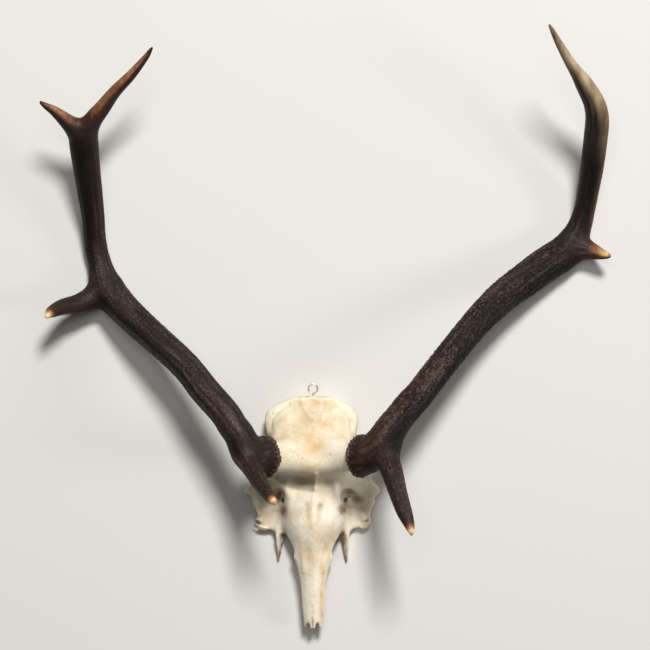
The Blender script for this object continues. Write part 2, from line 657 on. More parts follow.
RIGHT_SOCKET = [
    (28, -30, 70), (50, -27, 58), (60, -33, 46), (70, -37, 38), (74, -31, 38),
    (77, -38, 35), (83, -43, 33), (87, -49, 30), (85, -53, 29), (78, -58, 28),
    (80, -64, 27), (76, -72, 25), (73, -78, 24), (73, -85, 21), (64, -88, 19),
    (70, -95, 15), (58, -97, 14), (50, -100, 16), (47, -106, 18), (34, -104, 26),
    (30, -80, 40), (28, -55, 60),
]
BLOCK_BOTTOM = -4.0
SOCKET_FLOOR = 13
# x, y, z, three radii, turn
SOCKET_HOLLOW = [(-54, -66, 44, 26, 14, 33, 50), (55, -67, 44, 26, 14, 33, -50)]
# Slots through the floors of the orbits: x, y, half width, half length, turn
SOCKET_GAPS = [(-42, -55, 2.2, 5.5, -24), (-37.5, -62, 1.9, 4.4, 16), (42, -62, 2.6, 3.6, -24),
               (45.5, -58, 1.3, 2.4, 40)]
GAP_HEIGHT, GAP_REACH = 20, 60
# Root x and y, tip x and y, half width, height
JAW_SPIKES = [(-40.5, -100, -43.4, -140, 6.4, 24), (41.5, -100, 43.8, -142, 6.0, 23)]
# Pedicles: distance below the burr, and radius
PEDICLE = [(66, 27), (42, 24), (22, 21), (8, 20.4), (-6, 20.6)]
SAW_CUT = ((-150, -300, -50), (150, 150, 0))
BORE_MOUTH = 95
NOTCH_TOP = 60
NOSE_NOTCHES = [
    [(-5.2, -215), (-3.6, -219), (-1.4, -229), (-9.4, -229), (-7.8, -221), (-6.8, -216)],
    [(5.8, -215), (7.4, -216), (8.6, -221), (10.0, -229), (2.2, -229), (4.4, -219)],
    [(0.4, -209), (1.3, -230), (-0.7, -230)],
]


def half_sections(name, sections):
    """A closed solid over half sections mirrored about the middle line."""
    rings = []
    for y, middle, low, *points in sections:
        half = spline([(x, 0.0, z) for x, z in points], 6.0)
        gone = np.concatenate([[0], np.cumsum(np.linalg.norm(np.diff(half, axis=0), axis=1))])
        wanted = np.linspace(0, gone[-1], 17)
        half = np.stack([np.interp(wanted, gone, half[:, i]) for i in (0, 2)], axis=1)
        ring = [(x, y, z) for x, z in half] + [(-x, y, z) for x, z in half[-2::-1]]
        ring = [(ring[0][0], y, low)] + ring + [(-ring[0][0], y, low)]
        rings.append([(x + middle, y, z) for x, y, z in ring])
    return skin(name, rings)


def prism(name, outline, hollow=None, depth=None):
    """A block over an outline whose points each have their own height.

    It stands on BLOCK_BOTTOM or is one depth thick. Its top runs down to the hollow, if any.
    """
    bm = bmesh.new()
    low = [bm.verts.new(Vector((x, y, BLOCK_BOTTOM if depth is None else z - depth)) * MM)
           for x, y, z in outline]
    high = [bm.verts.new(Vector(place) * MM) for place in outline]
    for i in range(len(low)):
        j = (i + 1) % len(low)
        bm.faces.new((low[i], low[j], high[j], high[i]))
    floor = bm.faces.new(low[::-1])
    roof = bm.faces.new(high)
    bmesh.ops.triangulate(bm, faces=[floor])
    if hollow is None:
        bmesh.ops.triangulate(bm, faces=[roof])
    else:
        poked = bmesh.ops.poke(bm, faces=[roof])
        poked["verts"][0].co = Vector(hollow) * MM
    return new_object(name, bm)


def turned_ball(name, centre, radii, turn):
    """A ball stretched to its radii and turned about the upright axis."""
    bm = bmesh.new()
    bmesh.ops.create_icosphere(bm, subdivisions=4, radius=1.0)
    bmesh.ops.scale(bm, vec=Vector(radii) * MM, verts=bm.verts)
    obj = new_object(name, bm)
    obj.data.transform(Matrix.Translation(Vector(centre) * MM)
                       @ Matrix.Rotation(math.radians(turn), 4, "Z"))
    return obj


def slab_block(name, low, high):
    bm = bmesh.new()
    bmesh.ops.create_cube(bm, size=1.0)
    size = Vector(high) - Vector(low)
    bmesh.ops.scale(bm, vec=size * MM, verts=bm.verts)
    bmesh.ops.translate(bm, vec=(Vector(low) + size / 2) * MM, verts=bm.verts)
    return new_object(name, bm)


def plain_tube(name, rows, sides=24):
    return Branch(rows).solid(name, sides, 2)


def spot(co, x, y, rx, ry=None):
    """A soft round spot seen from above, 1 in its middle."""
    ry = rx if ry is None else ry
    return np.exp(-(((co[:, 0] - x) / rx) ** 2 + ((co[:, 1] - y) / ry) ** 2))


def line_distance(co, points):
    """Distance from above to a polyline."""
    best = np.full(len(co), 1e9)
    for (ax, ay), (bx, by) in zip(points, points[1:]):
        a, d = np.array([ax, ay]), np.array([bx - ax, by - ay])
        t = np.clip(((co[:, :2] - a) @ d) / (d @ d), 0, 1)
        best = np.minimum(best, np.linalg.norm(co[:, :2] - a - t[:, None] * d, axis=1))
    return best


def fold(co, points, width, wobble=0.0):
    """1 along a polyline seen from above, fading over the width."""
    if wobble:
        shift = [noise(co / 2.4, 21), noise(co / 2.4, 22), 0 * co[:, 0]]
        co = co + wobble * np.stack(shift, axis=1)
    return np.exp(-(line_distance(co, points) / width) ** 2)


FORAMINA = [
    # x, y, radius, depth
    (-6.6, -66, 2.6, 0.25), (10.2, -67, 2.6, 0.4), (-33, 40, 0.8, 0.8), (33, 41, 0.8, 0.8),
    (38, 47, 0.7, 0.6), (52, 50, 0.9, 0.9), (56, 29, 0.9, 0.8), (-50, 49, 1.1, 1.1),
    (-55, 30, 0.8, 0.7), (-8, 36, 0.7, 0.6), (-1, 40, 0.7, 0.6), (3, 34, 0.8, 0.6),
    (-22, 2, 0.9, 0.9), (-17, -2, 0.8, 0.8), (-12, -5, 1.0, 1.0), (22, -0.5, 1.0, 1.0),
    (1, -168, 0.8, 0.4), (-5, -150, 0.7, 0.4),
]
SEAMS = [
    # depth, width, wobble, points
    (0.45, 0.8, 1.2, [(0, 44), (2, 20)]),
    (0.25, 0.8, 2.2, [(-40, 6), (-25, 2.8), (-13, -4.7), (-4.8, -8.4), (4.8, -10.9), (16, -5.9),
                      (24, -0.5), (38, 5)]),
    (0.5, 0.8, 0.7, [(-11, -118), (-7.5, -109), (-2.9, -103.3), (0.3, -107), (1.5, -112.5),
                     (3.4, -112), (6.6, -105.2), (9.7, -106.5), (14.1, -111.5), (17.9, -118)]),
    (0.2, 0.9, 0.6, [(-11, -118), (-12.5, -129), (-10, -150), (-9, -205)]),
    (0.2, 0.9, 0.6, [(17.9, -118), (18.5, -130), (13.5, -154), (11.5, -205)]),
    (0.25, 0.8, 0.4, [(1.4, -116), (1.2, -170)]),
    (0.6, 0.7, 0.2, [(1.2, -170), (0.3, -226)]),
]


def skull_marks(co):
    """How deep each point lies in a foramen, and in a seam between bones."""
    pits, seam, depth = np.zeros(len(co)), np.zeros(len(co)), np.zeros(len(co))
    for x, y, radius, deep in FORAMINA:
        mark = spot(co, x, y, radius)
        pits = np.maximum(pits, mark * min(0.6, 0.55 * deep))
        depth += deep * mark
    broken = step(-0.35, 0.45, noise(co / 4.5, 77))
    for deep, width, wobble, points in SEAMS:
        mark = fold(co, points, width, wobble) * broken
        seam = np.maximum(seam, mark * deep)
        depth += deep * mark
    return pits, seam, depth


RIM_FURROWS = [[(-30, 61), (-38, 56), (-46, 49), (-51.5, 41), (-52.5, 30)],
               [(32, 60), (40, 54), (47, 46.5), (49.5, 40), (50, 30)]]
HUMPS = [
    # height (a hollow is below 0), x, y, reach across, reach along
    (1.3, 2, 66, 8, 9), (-1.2, 3, 60, 4, 7), (-2.6, -20, 61.5, 9, 4), (-2.6, 24, 62, 9, 4),
    (-1.8, -13, 44, 10, 7), (-1.5, 17, 38, 11, 8), (-1.4, 3, 8, 9, 12),
    (-6.0, -20, -38, 19, 8.5), (-2.6, 22, -37, 13, 8),
    (-0.8, -7, -124, 3.5, 14), (-0.8, 11, -126, 3.5, 14),
    (1.7, -25, -133.5, 3, 3.2), (1.7, 26.5, -133, 3, 3.6),
]
RIDGES = [
    # height (a furrow is below 0), width, points
    (2.0, 3.4, [(-13.5, 67), (-9.3, 54), (0.8, 42)]),
    (2.0, 3.4, [(11.8, 67), (10.7, 54), (5.5, 42)]),
    (-1.8, 2.2, RIM_FURROWS[0]), (-1.8, 2.2, RIM_FURROWS[1]),
    (1.6, 4.2, [(-50, 14), (-42, 32), (-30, 46)]), (1.6, 4.2, [(49, 12), (40, 30), (30, 44)]),
    (-0.7, 3.6, [(-6.6, -66), (-6.5, -78), (-4, -94)]),
    (-0.7, 3.6, [(10.2, -67), (8.5, -78), (6, -92)]),
    (1.0, 2.6, [(-13, -112), (-13, -128), (-10.5, -150)]),
    (1.0, 2.6, [(19, -112), (19, -128), (14, -150)]),
]
MIDDLE_CREST = [(4.8, -24), (2.9, -45), (1.0, -64), (-0.2, -100)]


def skull_form(co):
    """Swellings and hollows of the bone seen from above, in millimetres."""
    form = 0.32 * layered(co / 17.0, 3, 3) + 0.10 * noise(co / 2.1, 9)
    for height, x, y, rx, ry in HUMPS:
        form += height * spot(co, x, y, rx, ry)
    for height, width, points in RIDGES:
        form += height * fold(co, points, width)
    rough = spot(co, 2, -11, 13, 4.5)
    form += rough * (0.4 * np.abs(noise(co / 2.6, 41)) + 0.3 * noise(co / 1.7, 42))
    crest = fold(co, MIDDLE_CREST, 2.4)
    return form + crest * (0.5 * step(-100, -70, co[:, 1]) + 1.4 * step(-78, -40, co[:, 1]))


STAINS = [
    # x, y, reach across, reach along, strength, as in GRIME and BROWNS too
    (0, 70.5, 4.5, 3, 1.0), (3, 12, 12, 16, 1.00), (-13, 44, 9, 8, 0.70), (16, 36, 12, 8, 0.70),
    (3, 66, 5, 7, 1.00), (-20, 62, 9, 4, 0.55), (24, 62, 9, 4, 0.55), (2, -12, 10, 5, 0.50),
    (-6, -80, 3.0, 12, 0.72),
    (-36, 30, 6, 14, 0.38), (38, 30, 6, 12, 0.38), (-18, 24, 5, 8, 0.35), (3, 34, 9, 6, 0.55),
    (8, -76, 2.6, 9, 0.70), (12.6, -150, 3.6, 26, 0.95),
    (11.5, -188, 2.8, 28, 0.95), (16.5, -122, 4.4, 13, 0.95), (-10.6, -124, 3.0, 17, 0.8),
    (-70, -93, 6, 5, 0.4), (68, -92, 5, 5, 0.55), (1, -135, 2, 22, 0.35), (45, -70, 9, 4, 0.4),
    (-52, 20, 5, 12, 0.3), (52, 14, 5, 12, 0.3), (0, 30, 4, 6, 0.3),
]
GRIME = [(19, -41, 12, 13, 0.72), (-56, -56, 12, 7, 0.25), (46, -52, 8, 6, 0.85),
         (56, -61, 9, 6, 0.85), (66, -73, 7, 6, 0.65), (-43, -57, 5, 7, 0.7)]
# Lower edge of the dull crescent under the left half of the brow: x, then y
BROW_SHADE = ([-56, -43, -30, -18, 3.4, 8], [-27, -37, -45, -47.5, -48.5, -48.5])
BROWNS = [
    (-36.5, -73, 4.8, 7.5, 1.2), (38, -73, 4.6, 6.5, 1.2), (-37.5, -112, 3.8, 14, 1.5),
    (-41.8, -134, 2.5, 9, 1.3), (38.5, -112, 3.8, 14, 1.6), (42.0, -134, 2.5, 10, 1.5),
    (-6.4, -67, 4.2, 5.5, 0.40), (10.0, -68, 3.8, 5.5, 0.52), (60, -62, 8, 3.5, 0.25),
    (-5.4, -220, 3.0, 4.4, 1.0), (6.6, -220, 3.0, 4.4, 1.0), (0.5, -217, 1.0, 9.0, 1.0),
]
SPLINTER_DEPTH = 3.4
SPLINTERS = [
    # Points x, y and height of thin broken edges of the orbits
    [(-54, -99, 15), (-66, -95.5, 17), (-75.5, -89, 19), (-73, -93.5, 16), (-66, -99.5, 13)],
    [(-60, -98, 14), (-70, -97.5, 15), (-68, -100.5, 12), (-58, -102, 12)],
    [(60, -98, 14), (70, -90, 18), (74, -85, 20), (74, -93, 15), (66, -99.5, 12)],
    [(64, -96, 15), (70.5, -96, 15), (69, -99.5, 12)],
]


def skull_core():
    """The bone as one solid: a loft, the pedicles, the crest, the orbits and the cheek spikes."""
    parts = [half_sections("skull", SKULL_SECTIONS)]
    for place, axis in BURRS.values():
        c, n = np.array(place, dtype=float), np.array(axis)
        parts.append(plain_tube("pedicle", [tuple(c - n * d) + (r, r) for d, r in PEDICLE], 40))
    for edge in (LEFT_CREST, RIGHT_CREST):
        parts.append(plain_tube("crest", [(x, y, z, r, r) for x, y, z, r in edge]))
    parts.append(prism("socket", LEFT_SOCKET, (-54, -66, SOCKET_FLOOR)))
    parts.append(prism("socket", RIGHT_SOCKET, (55, -67, SOCKET_FLOOR)))
    for x0, y0, x1, y1, half, height in JAW_SPIKES:
        outer, inner = (height + 2, height - 7) if x0 < 0 else (height - 7, height + 2)
        parts.append(prism("spike", [
            (x0 - half, y0, outer), (x0 + half, y0, inner),
            (x1 + 1.1, y1, height * 0.35), (x1 - 1.1, y1, height * 0.35)]))
    obj = join(parts, "skull_bone")
    remesh(obj, SKULL_CORE_VOXEL)
    return obj


def soften_core(obj):
    """Relax the braincase and brow, then the walls that flow from the brow into the cheeks."""
    co, edges = read(obj)
    soft = (1 - step(30, 46, np.abs(co[:, 1] - 2))) * step(30, 42, co[:, 2])
    for place, axis in BURRS.values():
        soft *= step(8, 18, (np.array(place) - co) @ np.array(axis))
    co = relax(co, edges, soft, rounds=70, factor=0.6)
    x, y, z = np.abs(co[:, 0]), co[:, 1], co[:, 2]
    flow = step(16, 26, x) * step(-84, -74, y) * (1 - step(-30, -22, y)) * step(22, 30, z)
    cheek = step(24, 30, x) * (1 - step(50, 56, x)) * step(-108, -102, y)
    cheek *= (1 - step(-86, -76, y)) * step(10, 16, z)
    write(obj, relax(co, edges, np.maximum(flow, cheek), rounds=50, factor=0.6))


def hollow_out(obj):
    """Cut the braincase, face passage, orbits, slots and nose notches, and add the splinters."""
    cut(obj, half_sections("brain", BRAIN_SECTIONS))
    cut(obj, half_sections("face", FACE_SECTIONS))
    for x, y, z, a, b, c, turn in SOCKET_HOLLOW:
        cut(obj, turned_ball("orbit", (x, y, z), (a, b, c), turn))
    for x, y, half, length, turn in SOCKET_GAPS:
        cut(obj, turned_ball("gap", (x, y, GAP_HEIGHT), (half, length, GAP_REACH), turn))
    for outline in NOSE_NOTCHES:
        cut(obj, prism("notch", [(x, y, NOTCH_TOP) for x, y in outline]))
    splinters = [prism("splinter", points, depth=SPLINTER_DEPTH) for points in SPLINTERS]
    obj = join([obj] + splinters, "skull_bone")
    remesh(obj, SKULL_VOXEL)
    return obj


def soften_bone(obj):
    """Relax all but the thin edges, and the inner walls of the orbits more."""
    co, edges = read(obj)
    x, y, z = np.abs(co[:, 0]), co[:, 1], co[:, 2]
    thin = (y < -210) | ((y < -80) & (x > 56)) | ((y < -103) & (x > 31))
    co = relax(co, edges, np.where(thin, 0.15, 1.0), rounds=7)
    x, y, z = np.abs(co[:, 0]), co[:, 1], co[:, 2]
    wall = step(20, 26, x) * (1 - step(36, 42, x))
    wall *= step(-68, -60, y) * (1 - step(-34, -28, y)) * step(28, 34, z)
    co = relax(co, edges, wall, rounds=24)
    write(obj, co)
    return co


def marked(co, spots):
    """The strongest of the soft spots of a table at each point."""
    value = np.zeros(len(co))
    for x, y, rx, ry, strength in spots:
        value = np.maximum(value, strength * spot(co, x, y, rx, ry))
    return value


def brow_shade(co):
    """1 in the dull crescent under the left half of the brow."""
    edge = co[:, 1] - np.interp(co[:, 0], *BROW_SHADE) + 1.2 * noise(co / 6.0, 51)
    under = step(-1.5, 2.5, edge) * (1 - step(-31, -21, co[:, 1]))
    return under * step(-54, -46, co[:, 0]) * (1 - step(1, 6, co[:, 0]))


def orbit_hollow(co):
    """1 inside the hollows of the orbits."""
    hollow = np.zeros(len(co))
    for x, y, _, a, b, _, turn in SOCKET_HOLLOW:
        r = math.radians(turn)
        dx, dy = co[:, 0] - x, co[:, 1] - y
        along, over = dx * math.cos(r) + dy * math.sin(r), -dx * math.sin(r) + dy * math.cos(r)
        hollow = np.maximum(hollow, 1 - step(0.5, 1.2, np.hypot(along / a, over / b)))
    return hollow * (co[:, 2] < 40)


def paint_skull(obj):
    """Stains, dirt, pits, seams and the pale lip of the crest, for the bone material."""
    co, _ = read(obj)
    facing = normals(obj)[:, 2]
    upward = step(-0.05, 0.4, facing)
    stain = marked(co, STAINS)
    for points in RIM_FURROWS:
        stain = np.maximum(stain, 0.55 * fold(co, points, 2.2, 1.4)
                           * step(-0.5, 0.4, noise(co / 8.0, 61)))
    pits, seam, _ = skull_marks(co)
    lip = np.minimum(*(line_distance(co, [row[:2] for row in edge])
                       for edge in (LEFT_CREST, RIGHT_CREST)))
    for name, values in (
            ("grime", np.maximum(marked(co, GRIME), 0.85 * brow_shade(co))),
            ("stain", np.clip(stain * upward, 0, 1)),
            ("brown", np.clip(marked(co, BROWNS), 0, 1)),
            ("pits", np.clip(pits + seam * 0.5, 0, 1) * upward),
            ("inside", 1 - step(-0.35, 0.15, facing)), ("hollow", orbit_hollow(co)),
            ("lip", np.exp(-(lip / 2.2) ** 2) * upward),
            ("face", 1 - step(-75, -15, co[:, 1]))):
        paint(obj, name, values)


def skull():
    """The whole skull: core, hollows, relief, the saw cut, the eye's bore and the burr faces."""
    obj = skull_core()
    soften_core(obj)
    obj = hollow_out(obj)
    co = soften_bone(obj)
    upward = step(-0.05, 0.4, normals(obj)[:, 2])
    relief = upward * (skull_form(co) - skull_marks(co)[2])
    write(obj, co + normals(obj) * relief[:, None])

    cut(obj, slab_block("saw_cut", *SAW_CUT))
    x, _, z = EYE_CENTRE
    radius = WIRE_RADIUS + GAP
    cut(obj, plain_tube("bore", [(x, BORE_MOUTH, z, radius, radius),
                                 (x, SHANK_END - GAP, z, radius, radius)], 20))
    for place, axis in BURRS.values():
        cut_plane(obj, np.array(place) + np.array(axis) * (BURR_BASE - GAP), axis)
    paint_skull(obj)
    return obj


def cut_plane(obj, place, normal):
    """Cut the solid flat and keep the side the normal points away from."""
    bm = bmesh.new()
    bm.from_mesh(obj.data)
    geometry = bm.verts[:] + bm.edges[:] + bm.faces[:]
    bmesh.ops.bisect_plane(bm, geom=geometry, dist=0.00001, plane_co=Vector(place) * MM,
                           plane_no=Vector(normal), clear_outer=True)
    rim = [e for e in bm.edges if e.is_boundary]
    bmesh.ops.holes_fill(bm, edges=rim, sides=0)
    bmesh.ops.recalc_face_normals(bm, faces=bm.faces)
    bm.to_mesh(obj.data)
    bm.free()


def hanging_eye():
    """Round wire bent into an eye, its end just short of the shank."""
    x, y, z = EYE_CENTRE
    rows = [(x, SHANK_END, z), (x, y - EYE_RADIUS - 3.5, z), (x + 0.1, y - EYE_RADIUS - 1.2, z)]
    for k in range(EYE_STEPS + 1):
        a = math.radians(EYE_START) + math.radians(EYE_TURN) * k / EYE_STEPS
        rows.append((x + EYE_RADIUS * math.cos(a), y + EYE_RADIUS * math.sin(a), z))
    radius = WIRE_RADIUS - WIRE_CLEARANCE
    return plain_tube("wire_eye", [row + (radius, radius) for row in rows], 20)


# Materials

def nodes_of(name):
    mat = bpy.data.materials.new(name)
    mat.use_nodes = True
    tree = mat.node_tree
    return mat, tree, tree.nodes["Principled BSDF"]


def fill(tree, socket, value):
    """Link a socket, or set it to a number, a vector or a colour."""
    if isinstance(value, bpy.types.NodeSocket):
        tree.links.new(value, socket)
    elif socket.type == "RGBA":
        socket.default_value = (*value, 1.0)
    else:
        socket.default_value = value


def add(tree, kind, inputs=(), **settings):
    """A new shader node with its settings and inputs."""
    node = tree.nodes.new("ShaderNode" + kind)
    for name, value in settings.items():
        setattr(node, name, value)
    for name, value in dict(inputs).items():
        fill(tree, node.inputs[name], value)
    return node


def math_node(tree, how, a, b):
    node = add(tree, "Math", operation=how)
    fill(tree, node.inputs[0], a)
    fill(tree, node.inputs[1], b)
    return node.outputs["Value"]


def attribute(tree, name, amount=None):
    """A painted number, times the amount if there is one."""
    value = add(tree, "Attribute", attribute_name=name).outputs["Fac"]
    return value if amount is None else math_node(tree, "MULTIPLY", value, amount)


def place_in(tree, stretch=(1, 1, 1)):
    place = add(tree, "TexCoord").outputs["Object"]
    return add(tree, "Mapping", {"Vector": place, "Scale": stretch}).outputs["Vector"]


def cloud(tree, scale, detail=4.0, rough=0.55, stretch=(1, 1, 1)):
    return add(tree, "TexNoise", {"Vector": place_in(tree, stretch), "Scale": scale,
                                  "Detail": detail, "Roughness": rough}).outputs["Fac"]


def grey(tree, source, low, high, at=(0.0, 1.0)):
    """Map a number from the range at to low and high, and hold it there."""
    return add(tree, "MapRange", {"Value": source, "From Min": at[0], "From Max": at[1],
                                  "To Min": low, "To Max": high}).outputs["Result"]


def granules(tree, scale):
    """Rounded grains: 1 on top of each, 0 between them."""
    grains = add(tree, "TexVoronoi", {"Vector": place_in(tree), "Scale": scale})
    return grey(tree, grains.outputs["Distance"], 1.0, 0.0, (0.08, 0.72))


def ramp(tree, source, stops):
    node = add(tree, "ValToRGB", {"Fac": source})
    elements = node.color_ramp.elements
    while len(elements) < len(stops):
        elements.new(0.5)
    for element, (place, colour) in zip(elements, stops):
        element.position, element.color = place, (*colour, 1.0)
    return node.outputs["Color"]


def mix(tree, factor, a, b, how="MIX"):
    return add(tree, "Mix", {"Factor": factor, "A": a, "B": b},
               data_type="RGBA", blend_type=how).outputs["Result"]


def bump(tree, source, distance, strength):
    return add(tree, "Bump", {"Height": source, "Distance": distance,
                              "Strength": strength}).outputs["Normal"]


def antler_material():
    """Dark brown antler: light on the bead tops, near black between them, pale worn tips."""
    mat, tree, shader = nodes_of("dark_antler")
    relief = attribute(tree, "relief")
    base = ramp(tree, relief, [(0.12, (0.0055, 0.0025, 0.0019)), (0.45, (0.0230, 0.0105, 0.0080)),
                               (0.70, (0.0520, 0.0290, 0.0235)), (0.95, (0.0950, 0.0610, 0.0520))])
    red = grey(tree, cloud(tree, 20, 3), 0.0, 0.45, (0.54, 0.72))
    base = mix(tree, red, base, mix(tree, relief, (0.016, 0.0045, 0.0028), (0.080, 0.026, 0.015)))
    dusk = grey(tree, cloud(tree, 34, 3, stretch=(1.3, 1, 1)), 0.0, 0.4, (0.55, 0.8))
    base = mix(tree, dusk, base, mix(tree, relief, (0.010, 0.008, 0.0085), (0.072, 0.058, 0.060)))
    grain = granules(tree, 500)
    rough_part = attribute(tree, "grain")
    shade = ramp(tree, grain, [(0.15, (0.62, 0.60, 0.59)), (0.55, (1.0, 1.0, 1.0)),
                               (0.9, (1.20, 1.20, 1.20))])
    base = mix(tree, rough_part, base, mix(tree, 1.0, base, shade, "MULTIPLY"))
    polish = attribute(tree, "polish", 0.55)
    base = mix(tree, polish, base, (0.017, 0.0085, 0.0055))
    bead = attribute(tree, "bead", grey(tree, cloud(tree, 170, 2), 0.0, 0.75, (0.53, 0.66)))
    base = mix(tree, bead, base, (0.20, 0.080, 0.028))
    base = mix(tree, attribute(tree, "tone"), (0.0, 0.0, 0.0), base)
    base = mix(tree, attribute(tree, "flush"), base,
               mix(tree, relief, (0.020, 0.0055, 0.0030), (0.150, 0.052, 0.024)))
    beige = ramp(tree, cloud(tree, 60, 5, 0.6, (1, 0.35, 0.6)), [(0.3, (0.17, 0.105, 0.062)),
                                                                 (0.62, (0.47, 0.345, 0.225))])
    wear = attribute(tree, "wear")
    mottle = math_node(tree, "ADD", wear, grey(tree, cloud(tree, 190, 4), -0.09, 0.09, (0.3, 0.7)))
    tips = ramp(tree, mottle, [
        (0.0, (0.018, 0.008, 0.006)), (0.25, (0.058, 0.020, 0.010)), (0.5, (0.18, 0.077, 0.036)),
        (0.72, (0.42, 0.235, 0.11)), (0.9, (0.74, 0.52, 0.27)), (1.0, (0.80, 0.62, 0.38))])
    base = mix(tree, grey(tree, wear, 0.0, 1.0, (0.03, 0.28)), base, tips)
    base = mix(tree, attribute(tree, "beige"), base, beige)
    rough = grey(tree, relief, 0.68, 0.40, (0.2, 0.9))
    rough = math_node(tree, "SUBTRACT", rough, math_node(tree, "MULTIPLY", polish, 0.2))
    for name, value in (
            ("Base Color", base), ("Roughness", rough), ("Specular IOR Level", 0.24),
            ("Normal", bump(tree, math_node(tree, "MULTIPLY", grain, rough_part), 0.001, 0.9))):
        fill(tree, shader.inputs[name], value)
    return mat


def bone_material():
    """Ivory bone, whiter on the crown, greyer on the face, stained tan and brown in places."""
    mat, tree, shader = nodes_of("old_bone")
    crown = ramp(tree, cloud(tree, 17, 4, 0.55), [
        (0.36, (0.60, 0.47, 0.30)), (0.49, (0.75, 0.66, 0.49)), (0.64, (0.84, 0.78, 0.65))])
    muzzle = ramp(tree, cloud(tree, 21, 4, 0.55), [
        (0.34, (0.68, 0.57, 0.42)), (0.50, (0.81, 0.74, 0.61)), (0.68, (0.87, 0.82, 0.72))])
    base = mix(tree, attribute(tree, "face"), crown, muzzle)
    lilac = attribute(tree, "face", grey(tree, cloud(tree, 55, 3, 0.6), 0.0, 0.5, (0.52, 0.72)))
    base = mix(tree, lilac, base, (0.70, 0.66, 0.63))
    fine = ramp(tree, cloud(tree, 240, 4), [(0.34, (0.84, 0.80, 0.74)), (0.6, (1, 1, 1))])
    base = mix(tree, 0.55, base, fine, "MULTIPLY")
    patchy = grey(tree, cloud(tree, 75, 4), 0.4, 1.25, (0.32, 0.68))
    for name, amount, colour in (
            ("stain", patchy, (0.62, 0.41, 0.19)), ("grime", None, (0.33, 0.28, 0.19)),
            ("hollow", 0.12, (0.42, 0.31, 0.19)), ("inside", 0.55, (0.38, 0.27, 0.15)),
            ("brown", patchy, (0.17, 0.075, 0.027)), ("lip", 0.6, (0.84, 0.76, 0.58)),
            ("pits", 0.85, (0.16, 0.10, 0.05))):
        base = mix(tree, attribute(tree, name, amount), base, colour)
    for name, value in (
            ("Base Color", base), ("Roughness", grey(tree, cloud(tree, 45, 3), 0.42, 0.62)),
            ("Specular IOR Level", 0.4), ("Subsurface Weight", 0.15),
            ("Subsurface Radius", (0.0035, 0.0022, 0.0013)), ("Subsurface Scale", 1.0),
            ("Normal", bump(tree, cloud(tree, 620, 4), 0.0003, 0.5))):
        fill(tree, shader.inputs[name], value)
    return mat


def wire_material():
    mat, tree, shader = nodes_of("plated_wire")
    colour = ramp(tree, cloud(tree, 420, 3), [(0.34, (0.40, 0.38, 0.35)),
                                              (0.55, (0.66, 0.65, 0.63))])
    for name, value in (("Base Color", colour), ("Metallic", 0.8),
                        ("Roughness", grey(tree, cloud(tree, 380, 3), 0.30, 0.48))):
        fill(tree, shader.inputs[name], value)
    return mat


# Where pearls, grooves and tones lie: distances along a branch, then amounts

BEAM_PEARLS = ([0, 45, 95, 300, 360, 430, 520, 640], [0.25, 0.40, 0.95, 1.0, 0.8, 0.4, 0.2, 0.0])
TREZ_PEARLS = ([0, 30, 55, 70], [0.55, 0.5, 0.3, 0.0])
BEAM_GROOVES = ([0, 60, 300, 420, 620, 760], [0.45, 0.5, 0.6, 0.6, 0.4, 0.1])
TINE_PEARLS = ([0, 50, 84, 97], [0.50, 0.70, 0.60, 0.0])
LONG_BROW_PEARLS = ([0, 50, 102, 115], [0.30, 0.42, 0.36, 0.0])
TINE_GROOVES = ([0, 40, 90, 105], [0.4, 0.4, 0.3, 0.0])
SMOOTH_PEARLS = ([0, 30, 60], [0.3, 0.15, 0.0])
SMOOTH_GROOVES = ([0, 60, 120], [0.45, 0.4, 0.1])
SPUR_GROOVES = ([0, 60], [0.9, 0.6])
LEFT_DUSK = ([0, 330, 400, 560, 640], [0.78, 0.74, 0.36, 0.30, 0.45])
RIGHT_DUSK = ([0, 380, 450, 600, 660], [1.0, 0.9, 0.36, 0.32, 1.0])
# Pale wear, by distance back from the tip
BROW_TIP = ([0, 3, 7, 11, 17], [0.72, 0.92, 0.62, 0.28, 0.0])
TREZ_TIP = ([0, 3, 6, 9, 15, 40], [0.92, 0.74, 0.38, 0.18, 0.10, 0.04])
CROWN_WEB = ([0, 8, 18], [0.5, 0.34, 0.0])
LONG_TINE = ([0, 4, 14, 40, 70, 100, 135], [0.14, 0.28, 0.44, 0.58, 0.46, 0.50, 0.0])
SHORT_TINE = ([0, 4, 12, 28, 42, 56], [0.14, 0.34, 0.56, 0.56, 0.34, 0.0])
SPUR = ([0, 3, 12, 24, 36], [0.62, 0.84, 0.66, 0.36, 0.0])
PALE_TOP = ([0, 8, 40, 90, 125, 160, 210], [0.45, 0.65, 0.9, 0.95, 0.6, 0.25, 0.0])
# Red tints: distances along the branch, amounts, and the way they face
LEFT_FLUSH = [([40, 70, 110, 150], [0, 0.12, 0.1, 0], (-0.4, -0.5, 0.7)),
              ([330, 380, 640, 700], [0, 0.22, 0.15, 0], (0.98, 0.1, 0.05))]
RIGHT_FLUSH = [([0, 30, 110, 170], [0.15, 0.3, 0.3, 0], (-0.7, 0.6, 0.25)),
               ([400, 450, 620, 690], [0, 0.95, 0.95, 0], (0.99, -0.1, -0.1))]

